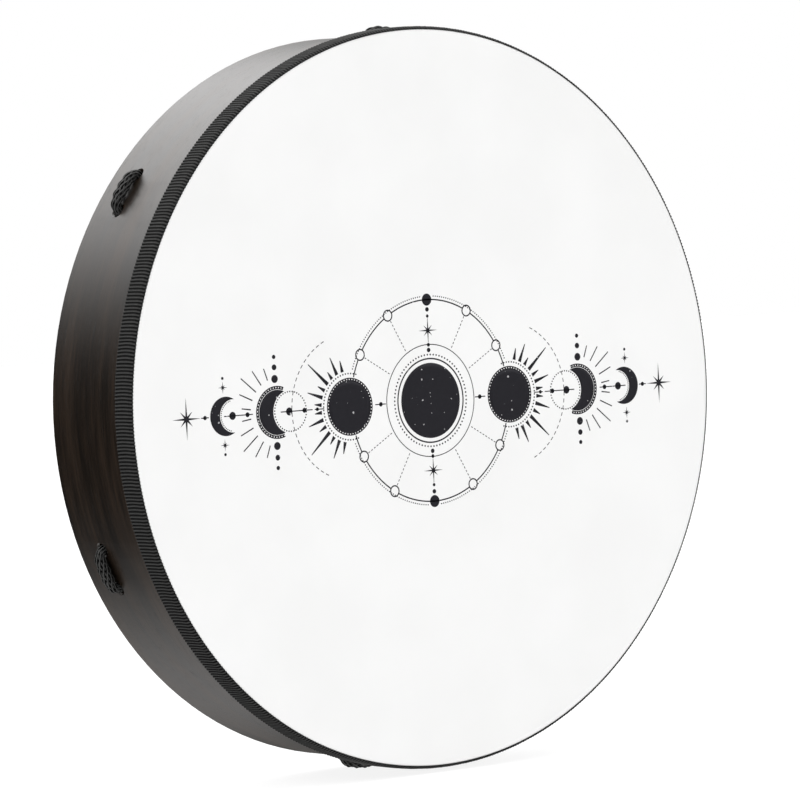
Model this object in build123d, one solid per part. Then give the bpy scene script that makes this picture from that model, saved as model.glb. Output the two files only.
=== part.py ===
from build123d import *
import math
import os

# Frame drum, millimetres. The drum stands upright: +Z is up, the head faces -Y and the open back
# faces +Y. The origin is the middle of the hand grip, on the drum's axis, in the plane of the
# twelve lacing holes. In the working frame of one rope hank, X runs out along the hank, Z runs
# across its two legs and Y is the drum's axis.

# ---- driving dimensions -------------------------------------------------------------------
SHELL_DIAMETER = 457.2      # outside of the wooden shell, 18 inches
SHELL_DEPTH = 87.65         # front edge to rear rim of the wood
PLY_THICKNESS = 2.5         # one bent ply
PLY_NAMES = ("shell_outer_ply", "shell_core_ply", "shell_inner_ply")  # glued one inside the other
GLUE_LINE = 0.05            # gap that the glue fills between two bonded pieces
RIM_ROUND = 1.2             # rounding of the rear rim's two corners

FILM_THICKNESS = 0.35       # drumhead film
FILM_SKIRT = 10.0           # film turned back along the hoop, from the head's plane
HEAD_CORNER = 2.9           # outside rounding of the film where it turns over the hoop
HOOP_THICKNESS = 3.25       # flat hoop that carries the film
HOOP_HEIGHT = 15.8

BAND_REACH = 16.4           # ribbed trim band, from the head's plane to the band's rear edge
BAND_THICKNESS = 0.8
BAND_LIP_ANGLE = 57.0       # how far the band runs on round the head's corner, degrees

HANK_COUNT = 6              # rope hanks round the shell
FIRST_HANK_ANGLE = 24.2     # degrees from +X towards +Z
HANK_SLIPS = (0, 0, -1.0, 0, 0.7, 0)  # degrees each hank stands off its even sixth
HOLE_TO_RIM = 25.4          # plane of the holes to the rear rim
HOLE_PITCH = 27.0           # between the two holes of one hank, measured straight
HOLE_COUNTERSINK = 1.1

ROPE_DIAMETER = 7.0
ROPE_CLEARANCE = 0.3        # rope to hole wall, to shell and to ring wrapping
ARCH_SLACK = 0.2            # extra clearance under the arch on the outside
ELBOW_HEIGHT = 0.9          # from a hole's mouth to where the rope's centre line begins to turn
ROPE_BUTT_GAP = 0.2         # between the rope's two ends, inside the seizing
ARC_SHARE = 0.49            # part of a run that the arc at either end of it may take
THROAT_SHARE = 0.98         # part of the seizing's setback that the arc at the throat may take

RING_RADIUS = 40.0          # centre line of the grip ring
RING_ROD_DIAMETER = 8.0
RING_WRAP_THICKNESS = 2.0   # twine wound over the rod
THROAT_RATIO = 2.05         # throat of the rope's eye: distance from the ring / bend radius

SEIZING_LENGTH = 11.0       # twine whipping that closes the eye
SEIZING_THICKNESS = 1.8
SEIZING_SETBACK = 4.0       # from the throat of the eye, where the legs begin to part
SEIZING_GAP = 0.2           # twine to rope

# ---- places that follow from them ---------------------------------------------------------
SHELL_RADIUS = SHELL_DIAMETER / 2
PLY_COUNT = len(PLY_NAMES)
SHELL_INNER_RADIUS = SHELL_RADIUS - PLY_COUNT * PLY_THICKNESS - (PLY_COUNT - 1) * GLUE_LINE
REAR_RIM_Y = HOLE_TO_RIM
SHELL_FRONT_Y = REAR_RIM_Y - SHELL_DEPTH
HEAD_Y = SHELL_FRONT_Y - FILM_THICKNESS

HOOP_INNER_RADIUS = SHELL_RADIUS + GLUE_LINE
HOOP_RADIUS = HOOP_INNER_RADIUS + HOOP_THICKNESS
HEAD_RADIUS = HOOP_RADIUS + FILM_THICKNESS

ROPE_RADIUS = ROPE_DIAMETER / 2
HOLE_RADIUS = ROPE_RADIUS + ROPE_CLEARANCE
WRAP_RADIUS = RING_ROD_DIAMETER / 2 + GLUE_LINE + RING_WRAP_THICKNESS
EYE_RADIUS = WRAP_RADIUS + ROPE_CLEARANCE + ROPE_RADIUS
THROAT_DISTANCE = THROAT_RATIO * EYE_RADIUS
THROAT_X = RING_RADIUS + THROAT_DISTANCE
THROAT_Z = ROPE_RADIUS + ROPE_CLEARANCE / 2
HOLE_Z = HOLE_PITCH / 2
HOLE_X = math.sqrt(SHELL_RADIUS**2 - HOLE_Z**2)
ARCH_X = SHELL_RADIUS + ROPE_CLEARANCE + ARCH_SLACK + ROPE_RADIUS
ELBOW_X = HOLE_X + ELBOW_HEIGHT


def disc(radius, front_y, rear_y):
    """A round slab about the drum's axis between two planes."""
    depth = rear_y - front_y
    return Pos(0, (front_y + rear_y) / 2, 0) * Rot(90, 0, 0) * Cylinder(radius, depth)


def hoop(inner_radius, outer_radius, front_y, rear_y):
    """A flat ring about the drum's axis between two planes."""
    return disc(outer_radius, front_y, rear_y) - disc(inner_radius, front_y - 1, rear_y + 1)


def circle_edge(solid, radius, y):
    """The circular edges of a solid with one radius in one plane across the axis."""
    edges = solid.edges().filter_by(GeomType.CIRCLE)
    return [e for e in edges if abs(e.radius - radius) < 1e-3 and abs(e.arc_center.Y - y) < 1e-3]


def save(solid, name):
    """Write one sub-part."""
    solid.label = name
    export_step(solid, os.path.join("parts", name + ".step"))
    print(f"{name:24s} {solid.volume / 1000:9.3f} cm3")


# ---- shell: three bent plies, pierced for the lacing ---------------------------------------
def hank_angle(index):
    """Degrees from +X towards +Z to the middle of one hank."""
    return FIRST_HANK_ANGLE + index * 360 / HANK_COUNT + HANK_SLIPS[index % len(HANK_SLIPS)]


def leg_line(side):
    """Where one leg of a hank meets the shell's outside, and its direction outwards."""
    throat = Vector(THROAT_X, 0, side * THROAT_Z)
    mouth = Vector(HOLE_X, 0, side * HOLE_Z)
    return mouth, (mouth - throat).normalized()


def hole_cutters():
    """The twelve lacing holes: each is a bore along its rope leg, countersunk at both ends."""
    wall = SHELL_RADIUS - SHELL_INNER_RADIUS
    sink = HOLE_COUNTERSINK
    cutters = []
    for side in (1, -1):
        mouth, outwards = leg_line(side)
        outer_end = Plane(origin=mouth, z_dir=outwards)
        inner_end = Plane(origin=mouth - outwards * wall, z_dir=outwards)
        cutters.append(outer_end * Cylinder(HOLE_RADIUS, 4 * wall))
        cutters.append(outer_end * Cone(HOLE_RADIUS, HOLE_RADIUS + 2 * sink, 2 * sink))
        cutters.append(inner_end * Cone(HOLE_RADIUS + 2 * sink, HOLE_RADIUS, 2 * sink))
    return [Rot(0, -hank_angle(k), 0) * cutter for k in range(HANK_COUNT) for cutter in cutters]


def bearing_bevel():
    """The cone that slopes the front edge inwards, so the film bears on the outer ply alone."""
    crest = SHELL_RADIUS - PLY_THICKNESS
    slope = crest - SHELL_INNER_RADIUS + 1
    cone = Cone(crest - slope, crest, slope)
    return Pos(0, SHELL_FRONT_Y + slope / 2, 0) * Rot(90, 0, 0) * cone


def make_plies():
    cutters = hole_cutters()
    bevel = bearing_bevel()
    for index, name in enumerate(PLY_NAMES):
        outer = SHELL_RADIUS - index * (PLY_THICKNESS + GLUE_LINE)
        inner = outer - PLY_THICKNESS
        ply = hoop(inner, outer, SHELL_FRONT_Y, REAR_RIM_Y)
        if index == 0:
            ply = fillet(circle_edge(ply, outer, REAR_RIM_Y), RIM_ROUND)
        if index == PLY_COUNT - 1:
            ply = fillet(circle_edge(ply, inner, REAR_RIM_Y), RIM_ROUND)
        if index > 0:
            ply = ply - bevel
        save(ply - cutters, name)


# ---- head: hoop, film and trim band --------------------------------------------------------
def make_head():
    round_inside = HEAD_CORNER - FILM_THICKNESS
    carrier = hoop(HOOP_INNER_RADIUS, HOOP_RADIUS, SHELL_FRONT_Y, SHELL_FRONT_Y + HOOP_HEIGHT)
    save(fillet(circle_edge(carrier, HOOP_RADIUS, SHELL_FRONT_Y), round_inside), "head_hoop")

    outside = disc(HEAD_RADIUS, HEAD_Y, HEAD_Y + FILM_SKIRT)
    outside = fillet(circle_edge(outside, HEAD_RADIUS, HEAD_Y), HEAD_CORNER)
    inside = disc(HOOP_RADIUS, SHELL_FRONT_Y, HEAD_Y + FILM_SKIRT + 1)
    inside = fillet(circle_edge(inside, HOOP_RADIUS, SHELL_FRONT_Y), round_inside)
    save(outside - inside, "drumhead_film")


def make_band():
    """The ribbon's section, from its rear edge forwards and on round the head's corner, spun round."""
    centre = Vector(HEAD_RADIUS - HEAD_CORNER, HEAD_Y + HEAD_CORNER)
    under = HEAD_CORNER + GLUE_LINE
    over = under + BAND_THICKNESS
    rear_y = HEAD_Y + BAND_REACH
    inside = CenterArc(centre, under, -BAND_LIP_ANGLE, BAND_LIP_ANGLE)
    outside = CenterArc(centre, over, -BAND_LIP_ANGLE, BAND_LIP_ANGLE)
    rear_inside = Vector(centre.X + under, rear_y)
    rear_outside = Vector(centre.X + over, rear_y)
    outline = [
        inside,
        outside,
        Line(inside @ 0, outside @ 0),
        Line(inside @ 1, rear_inside),
        Line(rear_inside, rear_outside),
        Line(rear_outside, outside @ 1),
    ]
    save(revolve(make_face(outline), axis=Axis.Y), "trim_band")


# ---- grip ring: steel rod bent to a ring, wound with twine ---------------------------------
def make_grip_ring():
    upright = Rot(90, 0, 0)
    rod_radius = RING_ROD_DIAMETER / 2
    save(upright * Torus(RING_RADIUS, rod_radius), "grip_ring")
    wrap = Torus(RING_RADIUS, WRAP_RADIUS) - Torus(RING_RADIUS, rod_radius + GLUE_LINE)
    save(upright * wrap, "grip_wrap")


# ---- lacing: six hanks, each one rope from eye to arch and back, and its seizing ------------
def eye_corners():
    """The rope's three corners round the grip ring, from the front side to the rear side."""
    half_throat = math.asin(EYE_RADIUS / THROAT_DISTANCE)
    turn = (math.pi + 2 * half_throat) / 3
    reach = EYE_RADIUS / math.cos(turn / 2)
    start = math.pi / 2 - half_throat
    corners = []
    for step, across in ((0.5, 0.7), (1.5, 0.0), (2.5, -0.7)):
        angle = start + step * turn
        x = RING_RADIUS + reach * math.cos(angle)
        y = -reach * math.sin(angle)
        corners.append(Vector(x, y, across * THROAT_Z))
    return corners


def seizing_span():
    """Where the seizing begins and ends along X."""
    start = THROAT_X + SEIZING_SETBACK
    return start, start + SEIZING_LENGTH


def leg_point(side, x):
    """The point of one leg's centre line at a distance from the drum's axis."""
    mouth, outwards = leg_line(side)
    return mouth + outwards * ((x - mouth.X) / outwards.X)


def hank_route():
    """Corner points of one hank: round the ring, out by one leg, over the arch and back."""
    seizing_start, seizing_end = seizing_span()
    butt = (seizing_start + seizing_end) / 2
    shoulder = ARCH_X - ELBOW_X
    far_elbow = leg_point(-1, ELBOW_X)
    near_elbow = leg_point(1, ELBOW_X)
    first = leg_point(1, butt - ROPE_BUTT_GAP / 2)
    last = leg_point(1, butt + ROPE_BUTT_GAP / 2)
    throat_in = Vector(THROAT_X, 0, THROAT_Z)
    throat_out = Vector(THROAT_X, 0, -THROAT_Z)
    return [
        first,
        throat_in,
        *eye_corners(),
        throat_out,
        far_elbow,
        Vector(ARCH_X, 0, far_elbow.Z + shoulder),
        Vector(ARCH_X, 0, near_elbow.Z - shoulder),
        near_elbow,
        last,
    ]


def corner_radii(points):
    """The largest arc for each corner that leaves room for its neighbours and for the seizing."""
    radii = []
    for before, here, after in zip(points, points[1:], points[2:]):
        run_in = here - before
        run_out = after - here
        half_turn = math.radians(run_in.get_angle(run_out)) / 2
        tangent = ARC_SHARE * min(run_in.length, run_out.length)
        if here.X == THROAT_X:
            tangent = min(tangent, THROAT_SHARE * SEIZING_SETBACK)
        radii.append(tangent / math.tan(half_turn))
    return radii


def make_hank():
    points = hank_route()
    radii = corner_radii(points)
    print("rope arcs, mm:", " ".join(f"{r:.1f}" for r in radii))
    path = FilletPolyline(*points, radius=radii)
    start_plane = Plane(origin=points[0], z_dir=points[1] - points[0])
    rope = sweep(start_plane * Circle(ROPE_RADIUS), path=path)
    fullness = rope.volume / (math.pi * ROPE_RADIUS**2 * path.length)
    print(f"rope length {path.length:.1f} mm, volume / (section x length) {fullness:.4f}")
    return rope


def make_seizing():
    """A flat sleeve of twine round both legs, wide enough for where they stand furthest apart."""
    start, end = seizing_span()
    spread = 2 * leg_point(1, end).Z
    height = ROPE_DIAMETER + 2 * SEIZING_GAP
    across = Plane(origin=(start, 0, 0), x_dir=(0, 0, 1), z_dir=(1, 0, 0))
    outside = SlotOverall(spread + height + 2 * SEIZING_THICKNESS, height + 2 * SEIZING_THICKNESS)
    inside = SlotOverall(spread + height, height)
    return extrude(across * (outside - inside), amount=SEIZING_LENGTH, dir=(1, 0, 0))


def make_lacing():
    rope = make_hank()
    seizing = make_seizing()
    for index in range(HANK_COUNT):
        turned = Rot(0, -hank_angle(index), 0)
        save(turned * rope, f"rope_hank_{index + 1}")
        save(turned * seizing, f"rope_seizing_{index + 1}")


os.makedirs("parts", exist_ok=True)
make_plies()
make_head()
make_band()
make_grip_ring()
make_lacing()
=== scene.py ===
import math

import bmesh
import bpy
import numpy as np
from mathutils import Matrix, Vector


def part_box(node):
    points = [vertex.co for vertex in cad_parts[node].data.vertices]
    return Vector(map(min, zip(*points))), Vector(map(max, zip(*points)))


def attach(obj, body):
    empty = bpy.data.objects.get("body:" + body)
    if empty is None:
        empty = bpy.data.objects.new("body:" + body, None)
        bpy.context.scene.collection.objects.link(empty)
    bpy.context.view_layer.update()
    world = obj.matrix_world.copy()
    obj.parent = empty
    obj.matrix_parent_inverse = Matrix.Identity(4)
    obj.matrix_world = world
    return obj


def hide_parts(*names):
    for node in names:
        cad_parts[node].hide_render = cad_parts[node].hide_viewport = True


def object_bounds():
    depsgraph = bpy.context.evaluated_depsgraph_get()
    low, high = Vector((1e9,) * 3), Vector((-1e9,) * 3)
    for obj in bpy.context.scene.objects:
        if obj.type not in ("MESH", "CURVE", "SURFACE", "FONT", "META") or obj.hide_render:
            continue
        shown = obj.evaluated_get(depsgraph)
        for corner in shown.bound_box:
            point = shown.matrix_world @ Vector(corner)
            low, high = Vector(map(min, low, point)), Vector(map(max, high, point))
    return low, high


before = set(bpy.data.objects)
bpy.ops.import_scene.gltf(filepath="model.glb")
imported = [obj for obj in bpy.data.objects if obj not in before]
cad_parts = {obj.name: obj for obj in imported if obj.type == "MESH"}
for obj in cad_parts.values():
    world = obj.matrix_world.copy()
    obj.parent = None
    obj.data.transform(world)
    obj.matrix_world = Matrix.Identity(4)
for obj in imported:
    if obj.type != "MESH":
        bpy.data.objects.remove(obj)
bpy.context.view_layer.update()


# ---- Shell -----------------------------------------------------------------------------------
# Three plies of steam-bent wood, glued one inside the other, their grain running round the drum.
# The outside is stained espresso brown and lacquered to a satin; the inside is stained and left
# thinly sealed. The rear rim's edges are rubbed a little paler.

class Wire:
    """One output of a shader node: arithmetic on it adds Math nodes, and node() adds any other."""

    def __init__(self, tree, socket=None):
        self.tree = tree
        self.socket = socket

    def node(self, kind, settings=None, inputs=None, output=0):
        """A node of one type: its settings first, then the values or wires of its sockets."""
        node = self.tree.nodes.new(kind)
        for key, value in (settings or {}).items():
            if key == "stops":
                elements = node.color_ramp.elements
                while len(elements) < len(value):
                    elements.new(1.0)
                for element, (place, level) in zip(elements, value):
                    element.position = place
                    element.color = (level, level, level, 1)
            else:
                setattr(node, key, value)
        for key, value in (inputs or {}).items():
            if isinstance(value, Wire):
                self.tree.links.new(value.socket, node.inputs[key])
            else:
                node.inputs[key].default_value = value
        if isinstance(output, tuple):
            return [Wire(self.tree, node.outputs[name]) for name in output]
        return Wire(self.tree, node.outputs[output])

    def math(self, operation, first, second=0.0):
        """A Math node on two values, each a wire or a number."""
        return self.node("ShaderNodeMath", {"operation": operation}, {0: first, 1: second})

    def __add__(self, other):
        return self.math("ADD", self, other)

    def __sub__(self, other):
        return self.math("SUBTRACT", self, other)

    def __rsub__(self, other):
        return self.math("SUBTRACT", other, self)

    def __mul__(self, other):
        return self.math("MULTIPLY", self, other)

    __radd__ = __add__
    __rmul__ = __mul__

    def sine(self):
        """The sine of the value in radians."""
        return self.math("SINE", self)

    def step(self, low, high):
        """0 below low, 1 above high, and a smooth rise between them."""
        settings = {"interpolation_type": "SMOOTHSTEP", "clamp": True}
        inputs = {"Value": self, "From Min": low, "From Max": high}
        return self.node("ShaderNodeMapRange", settings, inputs)


class Finish(Wire):
    """A material: the Principled shader with its constants, and the wires that vary it."""

    def __init__(self, name, **constants):
        self.material = bpy.data.materials.new(name)
        self.material.use_nodes = True
        super().__init__(self.material.node_tree)
        self.shader = self.tree.nodes["Principled BSDF"]
        for socket, value in constants.items():
            self.shader.inputs[socket.replace("_", " ")].default_value = value

    def place(self, source="Object"):
        """The point on the piece in metres, or its place on the UV map, as three wires."""
        point = self.node("ShaderNodeTexCoord", output=source)
        return self.node("ShaderNodeSeparateXYZ", None, {0: point}, ("X", "Y", "Z"))

    def noise(self, x, y, z, detail=3.0, roughness=0.5):
        """Cloudy noise from 0 to 1, one lump to a unit of the three wires."""
        point = self.node("ShaderNodeCombineXYZ", None, {"X": x, "Y": y, "Z": z})
        inputs = {"Vector": point, "Scale": 1.0, "Detail": detail, "Roughness": roughness}
        return self.node("ShaderNodeTexNoise", {"normalize": True}, inputs)

    def mix(self, amount, first, second):
        """A colour between two, each a wire or three numbers."""
        first, second = (c if isinstance(c, Wire) else (*c, 1) for c in (first, second))
        inputs = {0: amount, 6: first, 7: second}
        return self.node("ShaderNodeMix", {"data_type": "RGBA"}, inputs, 2)

    def drive(self, height=None, depth=0.0, **sockets):
        """Links wires to the shader, and a height of 0 to 1 that stands for depth metres."""
        if height is not None:
            inputs = {"Height": height, "Distance": depth, "Strength": 1.0}
            sockets["Normal"] = self.node("ShaderNodeBump", None, inputs)
        for socket, wire in sockets.items():
            self.tree.links.new(wire.socket, self.shader.inputs[socket.replace("_", " ")])
        return self.material


RIM_Y = float(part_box("shell_core_ply")[1][1])
RIM_WEAR_DEPTH = 0.0016
STAIN_DARK = np.array([0.0042, 0.0026, 0.0016])
STAIN_LIGHT = np.array([0.0215, 0.0128, 0.0075])
BARE_WOOD = (0.085, 0.052, 0.031)
FIGURE_ROUND, FIGURE_ALONG = 7, 75
GRAIN_ROUND, GRAIN_ALONG = 34, 950
PORES_ROUND, PORES_ALONG = 120, 2600
GRAIN_DEPTH = 0.00003


def stained_wood(name, gloss, brightness):
    """Broad figure, fine grain and dark pores: three noises, so many lumps to a metre round the
    drum and 10 to 30 times as many along it. The colour pales in patches at the rear rim."""
    finish = Finish(name)
    x, y, z = finish.place()
    figure = finish.noise(x * FIGURE_ROUND, y * FIGURE_ALONG, z * FIGURE_ROUND, 3)
    grain = finish.noise(x * GRAIN_ROUND, y * GRAIN_ALONG, z * GRAIN_ROUND, 5, 0.62)
    pores = finish.noise(x * PORES_ROUND, y * PORES_ALONG, z * PORES_ROUND, 2).step(0.60, 0.72)
    tone = (figure * 1.1 + grain * 0.9 - 0.5).step(0.25, 0.85)
    dark = STAIN_DARK * brightness
    colour = finish.mix(tone, dark, STAIN_LIGHT * brightness)
    colour = finish.mix(pores * 0.75, colour, dark * 0.4)
    near_rim = y.step(RIM_Y - RIM_WEAR_DEPTH, RIM_Y)
    rubbed = finish.noise(x * 90, y * 300, z * 90, 4, 0.7).step(0.5, 0.68)
    colour = finish.mix(near_rim * rubbed * 0.55, colour, BARE_WOOD)
    roughness = figure * 0.10 + pores * 0.12 + gloss
    height = grain * 0.35 + (1 - pores) * 0.65
    return finish.drive(height, GRAIN_DEPTH, Base_Color=colour, Roughness=roughness)


def dress(node, material):
    """Gives a CAD node its material."""
    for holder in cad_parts[node].material_slots:
        holder.material = material


dress("shell_outer_ply", stained_wood("satin_espresso_wood", 0.28, 1.0))
dress("shell_core_ply", stained_wood("ply_edge_wood", 0.50, 2.4))
dress("shell_inner_ply", stained_wood("sealed_inner_wood", 0.42, 2.0))


# ---- Head hoop -------------------------------------------------------------------------------
# Flat hoop of resin-bonded fibre that carries the film. It is lacquered black, and only its rear
# edge shows, under the trim band.

WEAVE_DEPTH = 0.00003


def lacquered_fibre():
    """Black lacquer with a faint cloth weave printing through."""
    finish = Finish("black_lacquered_fibre", Base_Color=(0.012, 0.012, 0.013, 1))
    x, y, z = finish.place()
    weave = finish.noise(x * 900, y * 900, z * 900, 2)
    return finish.drive(weave, WEAVE_DEPTH, Roughness=weave * 0.25 + 0.32)


dress("head_hoop", lacquered_fibre())


# ---- Drumhead --------------------------------------------------------------------------------
# White coated polyester film, heated, stretched over the hoop and turned back round the hoop's
# rounded front corner, where it is bonded. It bears on the front edge of the shell.

TURN = 2 * math.pi


def skin(name, sheets, material):
    """One mesh from grids of points.

    A sheet is (points, wraps, scales, capped): points[row, column] is a place in metres, wraps says
    whether rows and columns close on themselves, scales are the lengths that the rows and columns
    stand for in the UV map, and capped closes the first and last row with one face each.
    """
    places, loops, counts, maps = [], [], [], []
    start = 0
    for points, wraps, scales, capped in sheets:
        rows, columns = points.shape[:2]
        i, j = np.meshgrid(
            np.arange(rows - (not wraps[0])), np.arange(columns - (not wraps[1])), indexing="ij"
        )
        corners = [(i, j), (i + 1, j), (i + 1, j + 1), (i, j + 1)]
        quads = np.stack([(a % rows) * columns + b % columns for a, b in corners], -1)
        spread = np.stack([np.stack([a / rows * scales[0], b / columns * scales[1]], -1)
                           for a, b in corners], 2)
        loops.append(quads.ravel() + start)
        maps.append(spread.reshape(-1, 2))
        counts.append(np.full(quads.size // 4, 4))
        if capped:
            ring = np.arange(columns)
            loops += [start + ring, start + (rows - 1) * columns + ring[::-1]]
            maps.append(np.zeros((2 * columns, 2)))
            counts.append(np.array([columns, columns]))
        places.append(points.reshape(-1, 3))
        start += rows * columns
    places, loops, counts = np.concatenate(places), np.concatenate(loops), np.concatenate(counts)
    mesh = bpy.data.meshes.new(name)
    mesh.vertices.add(len(places))
    mesh.vertices.foreach_set("co", places.ravel())
    mesh.loops.add(len(loops))
    mesh.loops.foreach_set("vertex_index", loops.astype(np.int32))
    mesh.polygons.add(len(counts))
    mesh.polygons.foreach_set("loop_start", (np.cumsum(counts) - counts).astype(np.int32))
    mesh.polygons.foreach_set("use_smooth", np.ones(len(counts), dtype=bool))
    mesh.update(calc_edges=True)
    layer = mesh.uv_layers.new(name="along_the_thread")
    layer.data.foreach_set("uv", np.concatenate(maps).ravel())
    mesh.materials.append(material)
    piece = bpy.data.objects.new(name, mesh)
    bpy.context.collection.objects.link(piece)
    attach(piece, "root")
    return piece


HEAD_LOW, HEAD_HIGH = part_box("drumhead_film")
HEAD_RADIUS = float(HEAD_HIGH[0])
HEAD_FRONT = float(HEAD_LOW[1])
SKIRT_END = float(HEAD_HIGH[1])
FILM = 0.00035
CORNER = 0.0029
CENTRE = 0.0006
HEAD_SEGMENTS = 720
COATING_DARK = (0.853, 0.853, 0.849)
COATING_LIGHT = (0.880, 0.880, 0.877)
TOOTH_DEPTH = 0.000012


def film_section():
    """Radii and depths: out along the face, a quarter turn at the corner, and back inside."""
    flat_end = HEAD_RADIUS - CORNER
    face = np.concatenate([[CENTRE], np.linspace(0.01, flat_end, 24)])
    turn = np.linspace(0, math.pi / 2, 13)[1:]
    inner = CORNER - FILM
    skirt = np.array([0.5, 1.0]) * (SKIRT_END - HEAD_FRONT)
    back = turn[::-1]
    radii = np.concatenate([face, flat_end + CORNER * np.sin(turn), [HEAD_RADIUS] * 2,
                            [HEAD_RADIUS - FILM], flat_end + inner * np.sin(back), face[::-1]])
    depths = np.concatenate([0 * face, CORNER * (1 - np.cos(turn)), skirt, skirt[1:],
                             CORNER - inner * np.cos(back), 0 * face + FILM])
    return radii, depths + HEAD_FRONT


def spun(radii, depths, segments):
    """A section spun about the drum's axis: x = r cos a, y = depth, z = r sin a."""
    angle = np.linspace(0, TURN, segments, endpoint=False)[None, :]
    radii, depths = radii[:, None], depths[:, None] + 0 * angle
    return np.stack([radii * np.cos(angle), depths, radii * np.sin(angle)], -1)


def coated_film():
    """White coating with a fine sprayed tooth and the faintest cloudiness."""
    finish = Finish("white_coated_film", Specular_IOR_Level=0.25)
    x, y, z = finish.place()
    cloud = finish.noise(x * 14, y * 14, z * 14, 3)
    tooth = finish.noise(x * 1500, y * 1500, z * 1500, 2)
    colour = finish.mix(cloud.step(0.3, 0.7), COATING_DARK, COATING_LIGHT)
    return finish.drive(tooth, TOOTH_DEPTH, Base_Color=colour, Roughness=tooth * 0.12 + 0.50)


radii, depths = film_section()
head_sheet = (spun(radii, depths, HEAD_SEGMENTS), (False, True), (1, 1), True)
drumhead = skin("drumhead", [head_sheet], coated_film())
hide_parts("drumhead_film")
outside = slice(0, len(radii) // 2 + 1)


# ---- Print -----------------------------------------------------------------------------------
# A row of moon phases screen-printed on the head in charcoal ink, a coat a few hundredths of a
# millimetre thick: a full moon in rings, two side moons with rays, and four crescents.

INK_PROUD = 0.00005
INK_SUNK = 0.00001
INK_TOOTH = 0.00001
INK_DARK = (0.0125, 0.0120, 0.0155)
INK_LIGHT = (0.0180, 0.0175, 0.0215)
PINHOLE = (0.45, 0.45, 0.46)
WELD = 1e-7
PRINT_UNIT = 0.2314
PRINT_X = -0.0010
PRINT_Z = -0.0016


def on_head(x, z):
    """A flat figure, in print units, laid on the film, its face looking out of the drum."""
    return np.stack([x * PRINT_UNIT + PRINT_X, np.full_like(x, HEAD_FRONT - INK_PROUD),
                     z * PRINT_UNIT + PRINT_Z], -1)


def spot(x, z, radius, cells=5):
    """A square grid bent to a disc: x' = u sqrt(1 - v^2 / 2), z' = v sqrt(1 - u^2 / 2)."""
    u, v = np.meshgrid(np.linspace(-1, 1, cells), np.linspace(-1, 1, cells), indexing="ij")
    return on_head(x + radius * u * np.sqrt(1 - v * v / 2),
                   z + radius * v * np.sqrt(1 - u * u / 2))


def arc_stroke(x, z, radius, width, start=0.0, end=TURN, cells=96):
    """A stroke of even width along a circle."""
    angle = np.linspace(start, end, cells)[None, :]
    reach = (radius + width * np.array([-0.5, 0.5]))[:, None]
    return on_head(x + reach * np.cos(angle), z + reach * np.sin(angle))


def line_stroke(x0, z0, x1, z1, width0, width1):
    """A straight stroke whose width runs from width0 to width1."""
    length = math.hypot(x1 - x0, z1 - z0)
    across_x, across_z = -(z1 - z0) / length / 2, (x1 - x0) / length / 2
    along = np.array([0.0, 1.0])[None, :]
    side = np.array([1.0, -1.0])[:, None]
    width = width0 + (width1 - width0) * along
    x = x0 + (x1 - x0) * along + side * width * across_x
    z = z0 + (z1 - z0) * along + side * width * across_z
    return on_head(x, z)


def crescent(x, radius, bite_x, bite_radius, cells=40):
    """What a second disc leaves of a disc, between the two arcs that meet at its tips. They cross
    where cut, the distance from the first centre, is (r^2 - s^2 + gap^2) / (2 gap)."""
    gap = bite_x - x
    cut = (radius**2 - bite_radius**2 + gap**2) / (2 * gap)
    tip = math.sqrt(radius**2 - cut**2)
    outward = -np.sign(gap)
    outer_tip = math.atan2(tip, cut * outward)
    inner_tip = math.atan2(tip, (cut - gap) * outward)
    sweep = np.linspace(-1, 1, cells)[None, :]
    blend = np.linspace(0, 1, 5)[:, None]
    outer_x = x + outward * radius * np.cos(outer_tip * sweep)
    inner_x = bite_x + outward * bite_radius * np.cos(inner_tip * sweep)
    outer_z = radius * np.sin(outer_tip * sweep)
    inner_z = bite_radius * np.sin(inner_tip * sweep)
    return on_head(outer_x + (inner_x - outer_x) * blend,
                   outer_z + (inner_z - outer_z) * blend)


def star(x, z, upright, level, slant, waist):
    """Eight points about a centre: reach goes from point to waist and back, sixteen times round."""
    reach = np.array([level, waist, slant, waist, upright, waist, slant, waist] * 2)
    reach = np.stack([reach, np.zeros(16)])
    angle = np.arange(16) * TURN / 16
    return on_head(x + reach * np.cos(angle), z + reach * np.sin(angle))


def beads(x, z, radius, size, count, start=0.0, end=TURN):
    """Round dots spaced evenly along a circle."""
    angles = start + (end - start) / count * (np.arange(count) + 0.5)
    return [spot(x + radius * math.cos(a), z + radius * math.sin(a), size, 4) for a in angles]


def pierced_band(x, radius, width, middle, half_sweep, holes):
    """Two thin strokes with short bars between them, which leave a row of square holes."""
    third = width * 0.34
    first, last = middle - half_sweep, middle + half_sweep
    figures = [arc_stroke(x, 0, radius + reach, third, first, last)
               for reach in (-width * 0.33, width * 0.33)]
    period = 2 * half_sweep / holes
    for index in range(holes):
        angle = first + index * period
        figures.append(arc_stroke(x, 0, radius, third, angle, angle + period * 0.62, 3))
    return figures


def rays(x, side, near, lengths, spread, base, tip):
    """Strokes that fan out from a moon on the side away from the middle."""
    figures = []
    for angle, length in zip(np.linspace(-spread, spread, len(lengths)), lengths):
        cos, sin = side * math.cos(angle), math.sin(angle)
        figures.append(line_stroke(x + near * cos, near * sin, x + (near + length) * cos,
                                   (near + length) * sin, base, tip))
    return figures


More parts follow.
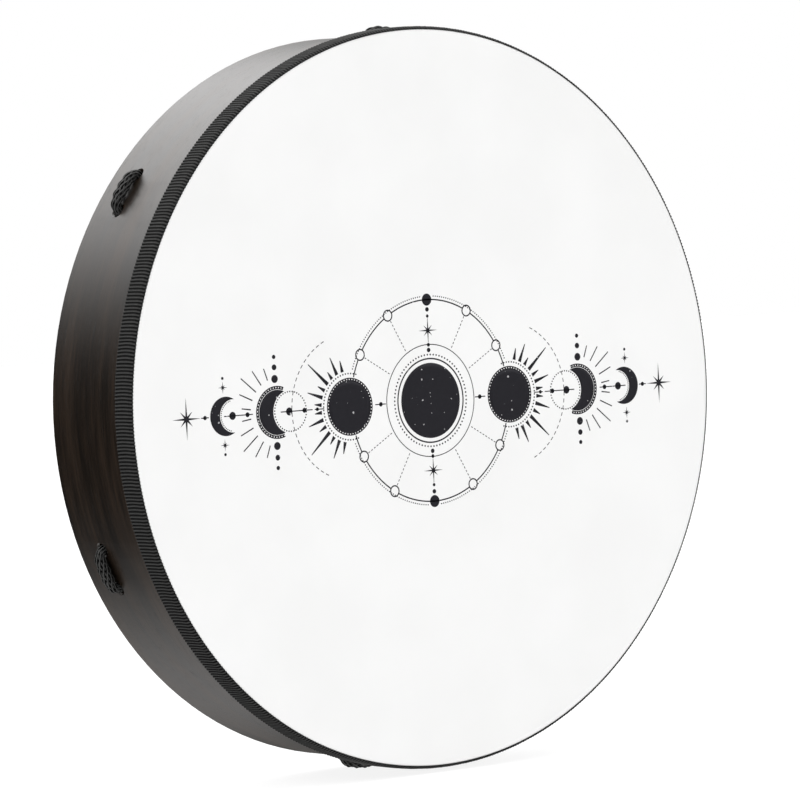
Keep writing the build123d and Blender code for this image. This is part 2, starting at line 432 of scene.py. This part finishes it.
HOUR = TURN / 12
STROKE = 0.0036
FINE_STROKE = 0.0022
RING = 0.2735
KNOT = 0.0145
KNOT_ANGLE = KNOT / RING
SIDE_MOON_ANGLE = 0.290
DASH_PITCH = 0.0112
DASH_LENGTH = 0.0062
SIDE_MOON = 0.2785
INNER_CRESCENT, INNER_BITE = 0.5235, 0.4790
OUTER_CRESCENT, OUTER_BITE = 0.6935, 0.6690
CRESCENT_STAR = 0.7005
SIDE_RAYS = (0.032, 0.052, 0.024, 0.086, 0.026, 0.052, 0.024)
CRESCENT_RAYS = (0.034, 0.048, 0.062, 0.046, 0.030)
UPRIGHT_DOTS = ((0.247, 0.0062), (0.229, 0.0046), (0.151, 0.0052), (0.137, 0.0062))
CRESCENT_DOTS = ((0.089, 0.0108), (0.120, 0.0078), (0.1475, 0.0058))
LEVEL_DOTS = ((0.7625, 0.0058), (0.672, 0.0108), (0.6225, 0.0066), (0.4835, 0.0108),
              (0.4325, 0.0068), (0.389, 0.0050), (0.1725, 0.0062))
LEVEL_LINES = ((0.605, 0.700), (0.405, 0.512), (0.366, 0.398), (0.1555, 0.192), (0.750, 0.775))

# The full moon, its rings and its beads.
flat = [spot(0, 0, 0.1020, 17), arc_stroke(0, 0, 0.1135, 0.0040), arc_stroke(0, 0, 0.152, 0.0024)]
flat += beads(0, 0, 0.1245, 0.0025, 76)

# The big ring, open at the side moons, with a knot and a dashed ray at eight of the hours.
for first, last in ((1, 2), (2, 4), (4, 5), (7, 8), (8, 10), (10, 11)):
    flat.append(arc_stroke(0, 0, RING, STROKE, first * HOUR + KNOT_ANGLE,
                           last * HOUR - KNOT_ANGLE, 40))
for half in (0, math.pi):
    for up in (1, -1):
        flat.append(arc_stroke(0, 0, RING, STROKE, half + up * SIDE_MOON_ANGLE,
                               half + up * (HOUR - KNOT_ANGLE), 14))
for hour in (1, 2, 4, 5, 7, 8, 10, 11):
    cos, sin = math.cos(hour * HOUR), math.sin(hour * HOUR)
    flat.append(arc_stroke(RING * cos, RING * sin, KNOT, STROKE, cells=33))
    for dash in range(9):
        near = 0.160 + dash * DASH_PITCH
        far = near + DASH_LENGTH
        flat.append(line_stroke(near * cos, near * sin, far * cos, far * sin,
                                FINE_STROKE, FINE_STROKE))
for quarter in range(4):
    gaps = (0.35, 0.07) if quarter % 2 == 0 else (0.07, 0.35)
    flat += beads(0, 0, 0.2830, 0.0019, 44, TURN / 4 * quarter + gaps[0],
                  TURN / 4 * (quarter + 1) - gaps[1])

# The upright axis: an end dot on the ring, smaller dots and a fine line.
for up in (1, -1):
    flat.append(spot(0, up * RING, 0.0165, 7))
    flat += [spot(0, up * height, size) for height, size in UPRIGHT_DOTS]
    flat.append(line_stroke(0, up * 0.223, 0, up * 0.158, 0.0016, 0.0016))

# Both sides alike: a rayed moon, two crescents, and the dots and lines of the level axis.
for side in (1, -1):
    moon = side * SIDE_MOON
    facing = math.pi / 2 - side * math.pi / 2
    flat.append(spot(moon, 0, 0.0692, 13))
    flat += pierced_band(moon, 0.0733, 0.0088, 0, math.pi, 52)
    flat += beads(moon, 0, 0.0890, 0.0023, 38, facing - 1.9, facing + 1.9)
    flat += rays(moon, side, 0.096, SIDE_RAYS + SIDE_RAYS[::-1], 1.35, 0.0110, FINE_STROKE)
    for dash in range(24):
        start = facing - 1.15 + dash * 0.0975
        flat.append(arc_stroke(moon, 0, 0.196, FINE_STROKE, start, start + 0.055, 4))
    flat.append(crescent(side * INNER_CRESCENT, 0.0600, side * INNER_BITE, 0.0575))
    flat += pierced_band(side * INNER_CRESCENT, 0.0658, 0.0092, facing, 1.92, 29)
    flat += beads(side * INNER_BITE, 0, 0.0530, 0.0021, 42)
    flat += rays(side * 0.520, side, 0.092, CRESCENT_RAYS + CRESCENT_RAYS[::-1],
                 1.22, 0.0034, 0.0030)
    flat.append(crescent(side * OUTER_CRESCENT, 0.052, side * OUTER_BITE, 0.044))
    flat += beads(side * OUTER_BITE, 0, 0.0405, 0.0017, 20, facing - 1.4, facing + 1.4)
    for up in (1, -1):
        flat += [spot(side * 0.528, up * height, size) for height, size in CRESCENT_DOTS]
        flat.append(spot(side * CRESCENT_STAR, up * 0.1005, 0.0040))
    flat += [spot(side * place, 0, size) for place, size in LEVEL_DOTS]
    flat += [line_stroke(side * near, 0, side * far, 0, 0.0028, 0.0028)
             for near, far in LEVEL_LINES]

stars = [star(side * 0.823, 0, 0.056, 0.046, 0.028, 0.0078) for side in (1, -1)]
stars += [star(0, up * 0.190, 0.036, 0.033, 0.020, 0.0056) for up in (1, -1)]
stars += [star(side * CRESCENT_STAR, up * 0.076, 0.016, 0.015, 0.0085, 0.0036)
          for side in (1, -1) for up in (1, -1)]


def charcoal_ink():
    """Flat charcoal ink, a little uneven where the screen laid it down, with a few pinholes."""
    finish = Finish("charcoal_ink", Specular_IOR_Level=0.12)
    x, y, z = finish.place()
    laid = finish.noise(x * 420, y * 420, z * 420, 3)
    pinholes = finish.noise(x * 470 + 9, y, z * 470, 0).step(0.785, 0.81)
    colour = finish.mix(laid, INK_DARK, INK_LIGHT)
    colour = finish.mix(pinholes, colour, PINHOLE)
    return finish.drive(laid, INK_TOOTH, Base_Color=colour, Roughness=laid * 0.15 + 0.55)


def face_out(figure):
    """The figure, turned over if the sum of its cells' crossed diagonals points into the drum."""
    long_way = figure[1:, 1:] - figure[:-1, :-1]
    short_way = figure[:-1, 1:] - figure[1:, :-1]
    turned_over = np.sum(np.cross(long_way, short_way)[..., 1]) > 0
    return figure[:, ::-1] if turned_over else figure


ink_sheets = [(face_out(figure), (False, False), (1, 1), False) for figure in flat]
ink_sheets += [(face_out(figure), (False, True), (1, 1), False) for figure in stars]
moon_print = skin("moon_print", ink_sheets, charcoal_ink())
welded = bmesh.new()
welded.from_mesh(moon_print.data)
bmesh.ops.remove_doubles(welded, verts=welded.verts, dist=WELD)
welded.to_mesh(moon_print.data)
welded.free()
ink_coat = moon_print.modifiers.new("ink_coat", "SOLIDIFY")
ink_coat.thickness = INK_PROUD + INK_SUNK
ink_coat.offset = -1


# ---- Trim band -------------------------------------------------------------------------------
# Black grosgrain ribbon glued over the film, from the head's rounded corner back to the hoop's
# rear edge: thick ribs across it, bound by fine warp threads, with a flat selvage at both edges.

BAND_REAR = float(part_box("trim_band")[1][1])
BAND_THICKNESS = 0.0008
BAND_GLUE = 0.00005
BAND_BEND = CORNER + BAND_GLUE + BAND_THICKNESS
BAND_LIP = math.radians(64)
RIBS = 664
STATIONS_PER_RIB = 6
RIB_DEPTH = 0.00062
RIB_POWER = 1.2
RIB_BOW = 0.0016
RIB_WANDER = 0.0012
SELVAGE = 0.0006
SELVAGE_SINK = 0.00022
SCALLOP = 0.00045
BINDING_PLACE = 0.0019
BINDING_WIDTH = 0.0003
BINDING_SINK = 0.00018
WARP_PITCH = 0.00045
COLUMN_PITCH = 0.0021
RIBBON_DARK = (0.0090, 0.0090, 0.0090)
RIBBON_LIGHT = (0.0700, 0.0700, 0.0690)
# Near black: painted shade for the gaps between the ribs, and the darker warp columns' own colour.
RIBBON_GAP_SHADE_AND_COLUMN = (0.0006, 0.0006, 0.0006)
RIBBON_TOOTH = 0.00009
chance = np.random.default_rng(18)


def band_section(depth_under, places):
    """Points of the ribbon's section at distances from its front edge, depth_under its outside:
    an arc of BAND_LIP round the head's corner, then straight back. Radii and depths."""
    angle = np.clip(places / BAND_BEND - BAND_LIP, None, 0)
    beyond = np.clip(places - BAND_BEND * BAND_LIP, 0, None)
    radius = HEAD_RADIUS - CORNER + (BAND_BEND - depth_under) * np.cos(angle)
    depth = HEAD_FRONT + CORNER + (BAND_BEND - depth_under) * np.sin(angle) + beyond
    return radius, depth


def ribbed_band():
    """Sinks the outside by RIB_DEPTH (1 - rib), rib being |cos| of each rib's phase to RIB_POWER,
    and again at the selvages and along the two bindings. The ribs bow a little across the ribbon
    and scallop its edges."""
    width = BAND_REAR - HEAD_FRONT - CORNER + BAND_BEND * BAND_LIP
    stations = RIBS * STATIONS_PER_RIB
    angle = np.linspace(0, TURN, stations, endpoint=False)[:, None]
    across = np.array([0.0, 0.01, 0.03, 0.055, 0.085, 0.12, 0.17, 0.23, 0.36, 0.50, 0.64, 0.78,
                       0.87, 0.925, 0.96, 0.985, 1.0])[None, :]
    edge_distance = np.minimum(across, 1 - across) * width
    wander = np.interp(np.arange(stations), np.linspace(0, stations, RIBS // 3),
                       chance.uniform(-1, 1, RIBS // 3), period=stations)[:, None]
    strength = np.repeat(chance.uniform(0.8, 1.0, RIBS), STATIONS_PER_RIB)[:, None]
    rib = np.abs(np.cos(RIBS * angle / 2)) ** RIB_POWER * strength
    edge = np.clip(edge_distance / SELVAGE, 0, 1)
    bound = np.exp(-((edge_distance - BINDING_PLACE) / BINDING_WIDTH) ** 2)
    sunk = RIB_DEPTH * (1 - rib) + SELVAGE_SINK * (1 - np.sqrt(edge)) + BINDING_SINK * bound
    scallop = SCALLOP * (1 - rib) * (1 - edge) * np.where(across < 0.5, 1, -1)
    radius, depth = band_section(sunk, across * width + scallop + 0 * angle)
    back = np.array([1.0, 0.78, 0.2, 0.14, 0.07, 0.0])[None, :] * (width - SELVAGE)
    back = back + SELVAGE / 2 + 0 * angle
    under_radius, under_depth = band_section(BAND_THICKNESS, back)
    lean = (wander * RIB_WANDER - RIB_BOW) * np.sin(across * math.pi)
    swing = np.concatenate([angle + lean, angle + 0 * back], 1)
    radius = np.concatenate([radius, under_radius], 1)
    depth = np.concatenate([depth, under_depth], 1)
    return np.stack([radius * np.cos(swing), depth, radius * np.sin(swing)], -1)[:, ::-1], width


def grosgrain():
    """Painted shade in the gaps between the ribs, from the place along the ribbon, and fine warp
    threads, with a darker column of them at each COLUMN_PITCH, from the place across it."""
    finish = Finish("black_grosgrain", Specular_IOR_Level=0.06)
    x, y, z = finish.place()
    along = finish.place("UV")[0]
    # gap marks the hollows between the ribs, which get painted shade.
    gap = ((along * (TURN * RIBS) + math.pi / 2).sine() * -0.5 + 0.5).step(0.12, 0.62)
    thread = (y * (TURN / WARP_PITCH)).sine() * 0.5 + 0.5
    column = ((y * (TURN / COLUMN_PITCH)).sine() * 0.5 + 0.5).step(0.72, 1.0)
    fuzz = finish.noise(x * 1400, y * 1400, z * 1400, 3)
    worn = finish.noise(x * 40, y * 40, z * 40, 2)
    bright = thread * 0.35 + fuzz * 0.45 + worn * 0.2
    colour = finish.mix(bright, RIBBON_DARK, RIBBON_LIGHT)
    # The rib gaps take painted shade; the warp columns take their own darker colour.
    colour = finish.mix(gap * 0.92 + column * 0.08, colour, RIBBON_GAP_SHADE_AND_COLUMN)
    height = thread * 0.5 + fuzz * 0.3 - column * 0.4
    return finish.drive(height, RIBBON_TOOTH, Base_Color=colour, Roughness=fuzz * 0.2 + 0.55)


band_points, ribbon_width = ribbed_band()
band_sheet = (band_points, (True, True), (1, 1), False)
trim_band = skin("ribbed_band", [band_sheet], grosgrain())
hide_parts("trim_band")


# ---- Rope lacing -----------------------------------------------------------------------------
# Six hanks of soft braided cord. Each is one rope: it starts inside its seizing, goes round the
# grip ring, out through one hole of the shell, over a short arch and back in by the other hole.
# The braid has eighteen yarns, nine each way, over a plain core; it swells on the open arch.

ROPE_RADIUS = 0.0035
RING_RADIUS = 0.040
SHELL_RADIUS = float(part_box("shell_outer_ply")[1][0])
WRAP_RADIUS = float(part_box("grip_wrap")[1][1])
EYE_CLEARANCE = 0.0003
EYE_RADIUS = WRAP_RADIUS + EYE_CLEARANCE + ROPE_RADIUS
THROAT_DISTANCE = 2.05 * EYE_RADIUS
THROAT_X = RING_RADIUS + THROAT_DISTANCE
LEG_CLEARANCE = 0.00015
THROAT_Z = ROPE_RADIUS + LEG_CLEARANCE
HOLE_Z = 0.0135
HOLE_X = math.sqrt(SHELL_RADIUS**2 - HOLE_Z**2)
ELBOW_X = HOLE_X + 0.0009
ARCH_CLEARANCE = 0.0005
ARCH_X = SHELL_RADIUS + ARCH_CLEARANCE + ROPE_RADIUS
SEIZING_START = THROAT_X + 0.004
SEIZING_END = SEIZING_START + 0.011
BEYOND_SEIZING = SEIZING_END + 0.012
STRAIGHT_END = ELBOW_X - 0.030
BEND_START = ELBOW_X - 0.005
BUTT_HALF_GAP = 0.0001
FIRST_HANK_ANGLE = 24.2
HANK_SPACING = 60
HANK_SLIPS = (0, 0, -1.0, 0, 0.7, 0)
HANK_ANGLES = [math.radians(FIRST_HANK_ANGLE + HANK_SPACING * index + slip)
               for index, slip in enumerate(HANK_SLIPS)]


def leg_point(side, x):
    """A point of one straight leg, which runs from the throat of the eye to its hole's mouth."""
    slope = (HOLE_Z - THROAT_Z) / (HOLE_X - THROAT_X)
    return Vector((x, 0, side * (THROAT_Z + slope * (x - THROAT_X))))


def rope_route():
    """The rope's points: from the seizing round the ring, out, over the arch and back again."""
    half_throat = math.asin(EYE_RADIUS / THROAT_DISTANCE)
    turn = (math.pi + 2 * half_throat) / 3
    reach = EYE_RADIUS / math.cos(turn / 2)
    eye = []
    for step, across in ((0.5, 0.7), (1.5, 0.0), (2.5, -0.7)):
        angle = math.pi / 2 - half_throat + step * turn
        eye.append(Vector((RING_RADIUS + reach * math.cos(angle), -reach * math.sin(angle),
                           across * THROAT_Z)))
    butt = (SEIZING_START + SEIZING_END) / 2
    shoulder = ARCH_X - ELBOW_X
    far_elbow, near_elbow = leg_point(-1, ELBOW_X), leg_point(1, ELBOW_X)
    return [
        leg_point(1, butt - BUTT_HALF_GAP),
        Vector((THROAT_X, 0, THROAT_Z)),
        *eye,
        Vector((THROAT_X, 0, -THROAT_Z)),
        leg_point(-1, SEIZING_START),
        leg_point(-1, BEYOND_SEIZING),
        leg_point(-1, STRAIGHT_END),
        leg_point(-1, BEND_START),
        far_elbow,
        Vector((ARCH_X, 0, far_elbow.z + shoulder)),
        Vector((ARCH_X, 0, near_elbow.z - shoulder)),
        near_elbow,
        leg_point(1, BEND_START),
        leg_point(1, STRAIGHT_END),
        leg_point(1, BEYOND_SEIZING),
        leg_point(1, butt + BUTT_HALF_GAP),
    ]


def smooth_line(points, spacing):
    """Places at even steps along the NURBS curve whose control points are the route's."""
    curve = bpy.data.curves.new("route", "CURVE")
    curve.dimensions = "3D"
    spline = curve.splines.new("NURBS")
    spline.points.add(len(points) - 1)
    spline.points.foreach_set("co", np.array([(*p, 1.0) for p in points]).ravel())
    spline.order_u = 3
    spline.use_endpoint_u = True
    spline.resolution_u = 24
    holder = bpy.data.objects.new("route", curve)
    line = bpy.data.meshes.new_from_object(holder)
    places = np.zeros(len(line.vertices) * 3)
    line.vertices.foreach_get("co", places)
    places = places.reshape(-1, 3)
    bpy.data.objects.remove(holder)
    bpy.data.curves.remove(curve)
    bpy.data.meshes.remove(line)
    run = np.concatenate([[0], np.cumsum(np.linalg.norm(np.diff(places, axis=0), axis=1))])
    even = np.linspace(0, run[-1], int(run[-1] / spacing))
    return np.stack([np.interp(even, run, places[:, axis]) for axis in range(3)], 1), even


def carried_frames(line):
    """Tangent, side and up at each place; the side is carried along without twisting."""
    tangent = np.gradient(line, axis=0)
    tangent /= np.linalg.norm(tangent, axis=1)[:, None]
    side = np.zeros_like(line)
    current = np.array([0.0, 1.0, 0.0])
    for index, direction in enumerate(tangent):
        current = current - direction * current.dot(direction)
        current = current / np.linalg.norm(current)
        side[index] = current
    return tangent, side, np.cross(tangent, side)


YARNS_EACH_WAY = 9
YARN_WIDTH = 0.00062
YARN_HEIGHT = 0.00064
YARN_SIDES = 8
BRAID_PITCH = 0.060
BRAID_WAVE = 0.00026
LEADING_WAY_RISE = 0.00022
ROPE_STATION = 0.0010
SLIP_STATIONS = 90
YARN_SLIP = 0.07
ARCH_PINCH = 0.16
CREST_WIDER = 0.40
CREST_HIGHER = 0.07
FILAMENT_PITCH = 0.0017
FILAMENT_SLANT = 6
FILAMENT_DARK = (0.0060, 0.0060, 0.0060)
# The light filament colour is a painted highlight; the flank colour is painted shade.
FILAMENT_HIGHLIGHT = (0.0950, 0.0950, 0.0930)
YARN_FLANK_SHADE = (0.0003, 0.0003, 0.0003)
FILAMENT_DEPTH = 0.00008


def braided_rope(line, run, swell_width, swell_height):
    """Sheets of the yarns and the core.

    At a run s, a yarn's centre is at angle p0 +- 2 pi s / pitch about the rope's line, at a
    distance middle +- (wave cos(9 * 2 pi s / pitch) + rise), the plus being for the leading way, so
    that the two ways pass over and under each other. A yarn slips a little from its even place,
    and its own section is an ellipse. Swells stretch the whole section beside and away from the
    drum.
    """
    tangent, side, up = carried_frames(line)
    middle = ROPE_RADIUS - BRAID_WAVE - YARN_HEIGHT - LEADING_WAY_RISE
    around = np.linspace(0, -TURN, YARN_SIDES, endpoint=False)
    sheets = []
    for way in (1, -1):
        for yarn in range(YARNS_EACH_WAY):
            slip = np.interp(run, np.linspace(0, run[-1], SLIP_STATIONS),
                             chance.uniform(-YARN_SLIP, YARN_SLIP, SLIP_STATIONS))
            angle = TURN * yarn / YARNS_EACH_WAY + way * TURN * run / BRAID_PITCH + slip
            wave = BRAID_WAVE * np.cos(YARNS_EACH_WAY * TURN * run / BRAID_PITCH)
            wave = way * (wave + LEADING_WAY_RISE)
            outward = np.cos(angle)[:, None] * side + np.sin(angle)[:, None] * up
            beside = np.cross(tangent, outward)
            proud = (middle + wave)[:, None] + np.cos(around)[None, :] * YARN_HEIGHT
            across = (np.sin(around) * YARN_WIDTH)[None, :, None]
            offset = outward[:, None, :] * proud[:, :, None] + beside[:, None, :] * across
            sheets.append((offset, (False, True), (run[-1], 1), True))
    core_radius = middle - YARN_HEIGHT * 0.4
    core = core_radius * (np.cos(around)[None, :, None] * side[:, None, :]
                          + np.sin(around)[None, :, None] * up[:, None, :])
    sheets.append((core, (False, True), (run[-1], 1), True))
    swell = np.stack([swell_height, swell_width, swell_height], 1)[:, None, :]
    return [(line[:, None, :] + offset * swell, *rest) for offset, *rest in sheets]


def braid_finish():
    """Black filament yarn: fine slanting filaments from the UV map, with a soft fuzz, their light
    stripes a painted highlight. The place round the yarn keeps that highlight to its top and paints
    shade on its flanks and its underside."""
    finish = Finish("black_braided_cord", Specular_IOR_Level=0.07)
    x, y, z = finish.place()
    along, about, _ = finish.place("UV")
    slant = about * (TURN * FILAMENT_SLANT)
    filament = (along * (TURN / FILAMENT_PITCH) + slant).sine() * 0.5 + 0.5
    fuzz = finish.noise(x * 2200, y * 2200, z * 2200, 3)
    # lit is the top of each yarn, which takes the painted highlight; its flanks and underside take
    # painted shade.
    lit = finish.math("COSINE", about * TURN).step(0.50, 0.98)
    colour = finish.mix(filament * 0.6 + fuzz * 0.4, FILAMENT_DARK, FILAMENT_HIGHLIGHT)
    colour = finish.mix(lit, YARN_FLANK_SHADE, colour)
    height = filament * 0.7 + fuzz * 0.3
    return finish.drive(height, FILAMENT_DEPTH, Base_Color=colour, Roughness=fuzz * 0.2 + 0.38)


def about_axis(sheets, angle):
    """Turns sheets about the drum's axis, from +X towards +Z."""
    cos, sin = math.cos(angle), math.sin(angle)
    turn = np.array([[cos, 0, sin], [0, 1, 0], [-sin, 0, cos]])
    return [(points @ turn, *rest) for points, *rest in sheets]


rope_line, rope_run = smooth_line(rope_route(), ROPE_STATION)
outside_share = np.clip((rope_line[:, 0] - HOLE_X + 0.004) / (ARCH_X - HOLE_X + 0.002), 0, 1)
crest_share = np.exp(-((rope_line[:, 2] / (HOLE_Z * 0.80)) ** 4)) * (rope_line[:, 0] > HOLE_X)
pinch = ARCH_PINCH * outside_share * (1 - crest_share)
swell_width = 1 + CREST_WIDER * crest_share - pinch
swell_height = 1 + CREST_HIGHER * crest_share - pinch
cord_finish = braid_finish()
for index, angle in enumerate(HANK_ANGLES):
    sheets = braided_rope(rope_line, rope_run, swell_width, swell_height)
    rope = skin(f"rope_{index + 1}", about_axis(sheets, angle), cord_finish)
    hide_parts(f"rope_hank_{index + 1}")


# ---- Seizings --------------------------------------------------------------------------------
# Nine close turns of waxed twine round both legs of each hank, next to the ring. They close the
# rope's eye and hide its two butted ends.

TWINE_RADIUS = 0.00062
SEIZING_TURNS = 9
TWINE_SIDES = 8
BITE = 0.9
PLY_PITCH = 0.0024
PLY_SLANT = 2
TWINE_DARK = (0.0040, 0.0038, 0.0036)
TWINE_LIGHT = (0.0200, 0.0190, 0.0180)
TWINE_DEPTH = 0.00012


def wound_tube(line, outward, radius, length):
    """A tube along a line, its section set out from the outward direction at each place."""
    tangent = np.gradient(line, axis=0)
    tangent /= np.linalg.norm(tangent, axis=1)[:, None]
    outward = outward - tangent * np.sum(outward * tangent, axis=1)[:, None]
    outward /= np.linalg.norm(outward, axis=1)[:, None]
    beside = np.cross(tangent, outward)
    around = np.linspace(0, -TURN, TWINE_SIDES, endpoint=False)[None, :, None]
    rim = np.cos(around) * outward[:, None, :] + np.sin(around) * beside[:, None, :]
    return line[:, None, :] + radius * rim, (False, True), (length, 1), True


def seizing_line():
    """A flat coil round two legs: z = h tanh(5 cos a) + r cos a, y = r sin a, x rising with a."""
    angle = np.linspace(0, TURN * SEIZING_TURNS, SEIZING_TURNS * 64)
    share = angle / angle[-1]
    x = SEIZING_START + TWINE_RADIUS + share * (SEIZING_END - SEIZING_START - 2 * TWINE_RADIUS)
    half = THROAT_Z + (HOLE_Z - THROAT_Z) / (HOLE_X - THROAT_X) * (x - THROAT_X)
    reach = ROPE_RADIUS + TWINE_RADIUS * BITE
    z = half * np.tanh(5 * np.cos(angle)) + reach * np.cos(angle)
    y = reach * np.sin(angle)
    outward = np.stack([0 * angle, np.sin(angle), np.cos(angle)], 1)
    return np.stack([x, y, z], 1), outward


def waxed_twine():
    """Two-ply waxed twine: the plies' slant from the UV map."""
    finish = Finish("black_waxed_twine", Specular_IOR_Level=0.35)
    x, y, z = finish.place()
    along, about, _ = finish.place("UV")
    ply = (along * (TURN / PLY_PITCH) + about * (TURN * PLY_SLANT)).sine() * 0.5 + 0.5
    fuzz = finish.noise(x * 1800, y * 1800, z * 1800, 3)
    colour = finish.mix(ply * 0.7 + fuzz * 0.3, TWINE_DARK, TWINE_LIGHT)
    height = ply * 0.8 + fuzz * 0.2
    return finish.drive(height, TWINE_DEPTH, Base_Color=colour, Roughness=fuzz * 0.25 + 0.35)


twine_finish = waxed_twine()
coil, coil_outward = seizing_line()
coil_length = float(np.sum(np.linalg.norm(np.diff(coil, axis=0), axis=1)))
for index, angle in enumerate(HANK_ANGLES):
    sheets = about_axis([wound_tube(coil, coil_outward, TWINE_RADIUS, coil_length)], angle)
    seizing = skin(f"seizing_{index + 1}", sheets, twine_finish)
    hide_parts(f"rope_seizing_{index + 1}")


# ---- Grip ring -------------------------------------------------------------------------------
# A ring of bent and welded steel rod, wound closely with thick twine all the way round, so that
# no steel shows. The winding closes on itself.

WRAP_TURNS = 134
STATIONS_PER_TURN = 20
WRAP_TWINE_RADIUS = 0.00105
DRAWN_DEPTH = 0.00002
ROD_RADIUS = float(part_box("grip_ring")[1][1])


def winding_line():
    """A coil round a ring: with a once round the ring and b = turns * a round the rod,
    x = (R + r cos b) cos a, y = r sin b, z = (R + r cos b) sin a."""
    a = np.linspace(0, TURN, WRAP_TURNS * STATIONS_PER_TURN, endpoint=False)
    b = WRAP_TURNS * a
    reach = ROD_RADIUS + WRAP_TWINE_RADIUS * BITE
    outward = np.stack([np.cos(b) * np.cos(a), np.sin(b), np.cos(b) * np.sin(a)], 1)
    ring = RING_RADIUS * np.stack([np.cos(a), 0 * a, np.sin(a)], 1)
    return ring + reach * outward, outward


def drawn_steel():
    """Steel with fine drawn lines along the rod."""
    finish = Finish("drawn_steel", Metallic=1.0, Base_Color=(0.42, 0.42, 0.43, 1))
    x, y, z = finish.place()
    drawn = finish.noise(x * 200, y * 3000, z * 200, 2)
    return finish.drive(drawn, DRAWN_DEPTH, Roughness=drawn * 0.2 + 0.3)


dress("grip_ring", drawn_steel())
winding, winding_outward = winding_line()
winding_length = float(np.sum(np.linalg.norm(np.diff(winding, axis=0), axis=1)))
points, _, scales, _ = wound_tube(winding, winding_outward, WRAP_TWINE_RADIUS, winding_length)
closed_coil = (points, (True, True), scales, False)
grip_winding = skin("grip_winding", [closed_coil], twine_finish)
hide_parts("grip_wrap")


# ---- Floor, light and camera -----------------------------------------------------------------
# A pale floor that the drum's lowest point touches and that glows a little itself, an even white
# room whose reflection is bright overhead and dark at eye level, one soft box high on the left,
# and a long lens.

FLOOR_REACH = 6.0
FLOOR_GLOW = 0.87
floor_z = float(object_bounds()[0][2])
corners = [(-1, -1), (1, -1), (1, 1), (-1, 1)]
floor_mesh = bpy.data.meshes.new("floor")
floor_mesh.from_pydata([(x * FLOOR_REACH, y * FLOOR_REACH, floor_z) for x, y in corners],
                       [], [(0, 1, 2, 3)])
floor_paint = Finish("pale_floor", Roughness=0.9, Base_Color=(0.16, 0.16, 0.16, 1),
                     Emission_Color=(1, 1, 1, 1), Emission_Strength=FLOOR_GLOW)
floor_mesh.materials.append(floor_paint.material)
floor = bpy.data.objects.new("floor", floor_mesh)
bpy.context.collection.objects.link(floor)
floor.visible_glossy = False

ROOM_LIGHT = 1.05
BRIGHTEST = 4.5
REFLECTED = ((0.0, 0.34), (0.14, 0.34), (0.20, 0.25), (0.25, 0.05), (0.31, 0.005), (0.575, 0.004),
             (0.635, 0.08), (0.70, 0.33), (0.77, 0.82), (1.0, 1.0))
world = bpy.data.worlds.new("studio")
bpy.context.scene.world = world
world.use_nodes = True
room = Wire(world.node_tree)
direction = room.node("ShaderNodeTexCoord", output="Generated")
height = room.node("ShaderNodeSeparateXYZ", None, {0: direction}, "Z") * 0.5 + 0.5
reflected = room.node("ShaderNodeValToRGB", {"stops": REFLECTED}, {"Fac": height}) * BRIGHTEST
camera_ray, glossy_ray = room.node("ShaderNodeLightPath", output=("Is Camera Ray", "Is Glossy Ray"))
level = glossy_ray * reflected + (1 - glossy_ray) * ROOM_LIGHT
level = camera_ray + (1 - camera_ray) * level
backdrop = world.node_tree.nodes["Background"]
backdrop.inputs["Color"].default_value = (1, 1, 1, 1)
world.node_tree.links.new(level.socket, backdrop.inputs["Strength"])


def soft_light(name, place, aim, size, power):
    """A square soft light at a place, turned to an aim."""
    data = bpy.data.lights.new(name, "AREA")
    data.shape = "SQUARE"
    data.size = size
    data.energy = power
    lamp = bpy.data.objects.new(name, data)
    bpy.context.collection.objects.link(lamp)
    lamp.location = place
    lamp.rotation_euler = (Vector(aim) - Vector(place)).to_track_quat("-Z", "Y").to_euler()


soft_light("left_softbox", (-2.2, 0.25, 1.5), (0, 0, 0), 0.9, 17)

CAMERA_AZIMUTH = math.radians(38.9)
CAMERA_ELEVATION = math.radians(2.62)
CAMERA_ROLL = math.radians(-2.34)
CAMERA_DISTANCE = 3.478
LENS_LENGTH = 249.5
SENSOR_WIDTH = 36.0
LENS_SHIFT = (-0.0397, -0.0028)
aim = Vector((0, HEAD_FRONT, 0))
back = Vector((-math.sin(CAMERA_AZIMUTH) * math.cos(CAMERA_ELEVATION),
               -math.cos(CAMERA_AZIMUTH) * math.cos(CAMERA_ELEVATION), math.sin(CAMERA_ELEVATION)))
level_right = back.cross(Vector((0, 0, -1))).normalized()
level_up = back.cross(level_right)
right = math.cos(CAMERA_ROLL) * level_right + math.sin(CAMERA_ROLL) * level_up
up = -math.sin(CAMERA_ROLL) * level_right + math.cos(CAMERA_ROLL) * level_up
lens = bpy.data.cameras.new("camera")
lens.lens = LENS_LENGTH
lens.sensor_width = SENSOR_WIDTH
lens.shift_x, lens.shift_y = LENS_SHIFT
lens.clip_end = 50
camera = bpy.data.objects.new("camera", lens)
bpy.context.collection.objects.link(camera)
camera.matrix_world = Matrix.Translation(aim + back * CAMERA_DISTANCE) @ Matrix(
    [[right[row], up[row], back[row]] for row in range(3)]).to_4x4()
bpy.context.scene.camera = camera
bpy.context.scene.view_settings.view_transform = "Standard"
